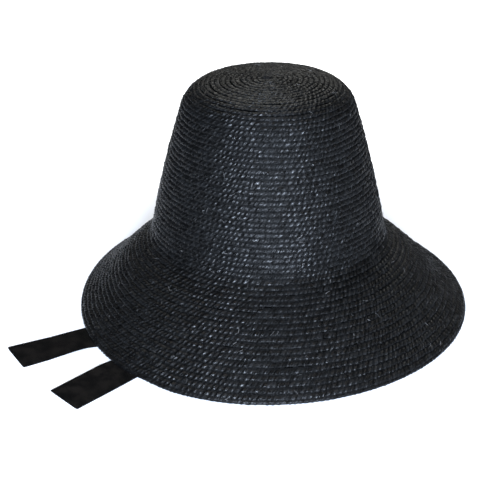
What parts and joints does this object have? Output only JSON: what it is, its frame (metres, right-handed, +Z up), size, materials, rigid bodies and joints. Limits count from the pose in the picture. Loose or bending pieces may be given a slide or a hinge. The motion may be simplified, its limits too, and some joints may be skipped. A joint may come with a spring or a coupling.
{
  "type": "sewn straw hat with ribbon tails",
  "caption": "Black sewn-braid straw hat with a tall tapered crown, a sloping brim and flat ribbon tails sewn inside the crown.",
  "frame": {"origin": "on the crown's axis, at the centre of the open underside, in the plane that the rim rests on", "axes": "+Z up through the tip of the crown, -Y towards the front of the picture, +X to the right of the picture"},
  "size_m": [0.3713, 0.3218, 0.1896],
  "materials": {
    "straw_braid": "black dyed braided straw, semi-gloss, sewn in overlapping rows",
    "ribbon": "matte black woven ribbon"
  },
  "bodies": {
    "root": {"crown": "straw_braid", "brim": "straw_braid", "ribbon_tail_rear": "ribbon", "ribbon_tail_front": "ribbon"}
  },
  "joints": []
}
